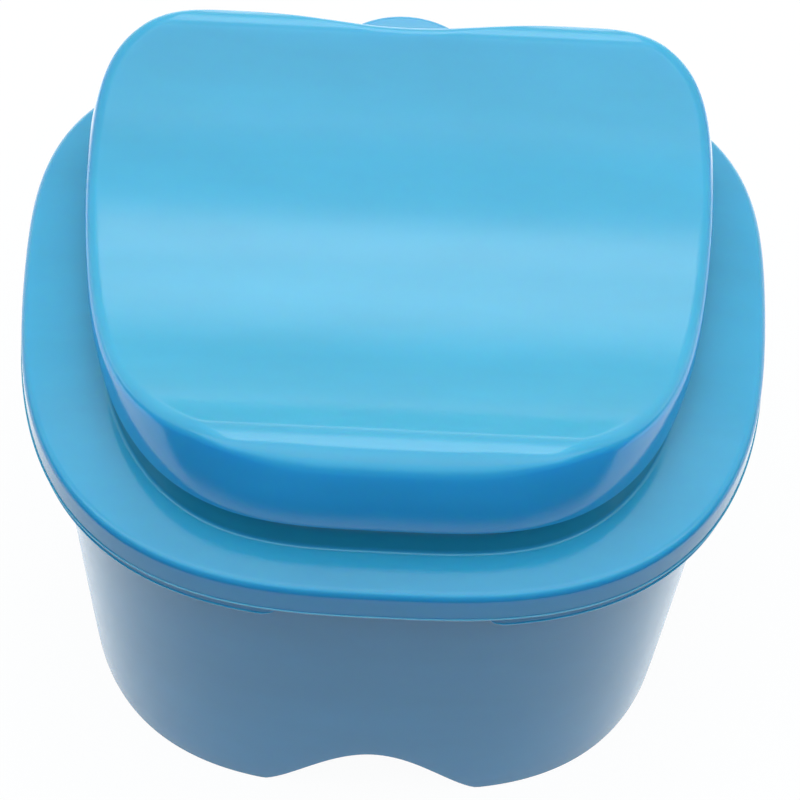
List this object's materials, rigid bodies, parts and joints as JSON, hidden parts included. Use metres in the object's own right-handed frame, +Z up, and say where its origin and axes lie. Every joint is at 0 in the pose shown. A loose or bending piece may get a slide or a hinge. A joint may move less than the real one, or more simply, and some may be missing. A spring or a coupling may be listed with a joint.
{
  "type": "denture case",
  "caption": "Tapered soaking cup with a rim frame, a hanging strainer basket and a saddle-topped lid hinged at the back.",
  "frame": {"origin": "bottom centre of the case's box, on the plane of the foot", "axes": "+Z up out of the cup, -Y towards the front with the foot arch, +X to the right as seen from the front"},
  "size_m": [0.0842, 0.084, 0.0654],
  "materials": {
    "cup_plastic": "glossy moulded polypropylene, sky blue",
    "frame_plastic": "glossy moulded polypropylene, sky blue",
    "basket_plastic": "satin moulded polypropylene, sky blue",
    "lid_plastic": "glossy moulded polypropylene, sky blue",
    "pin_plastic": "extruded polypropylene rod, sky blue"
  },
  "bodies": {
    "base": {"cup": "cup_plastic"},
    "basket_frame": {"rim_frame": "frame_plastic", "strainer_basket": "basket_plastic", "hinge_pin": "pin_plastic"},
    "lid": {"lid": "lid_plastic"}
  },
  "joints": [
    {"name": "basket_lift", "type": "slide", "parent": "base", "child": "basket_frame", "axis": [0, 0, 1], "range_m": [0, 0.06]},
    {"name": "lid_hinge", "type": "hinge", "parent": "basket_frame", "child": "lid", "pos_m": [0, 0.0328, 0.0531], "axis": [-1, 0, 0], "range_deg": [0, 110]}
  ]
}
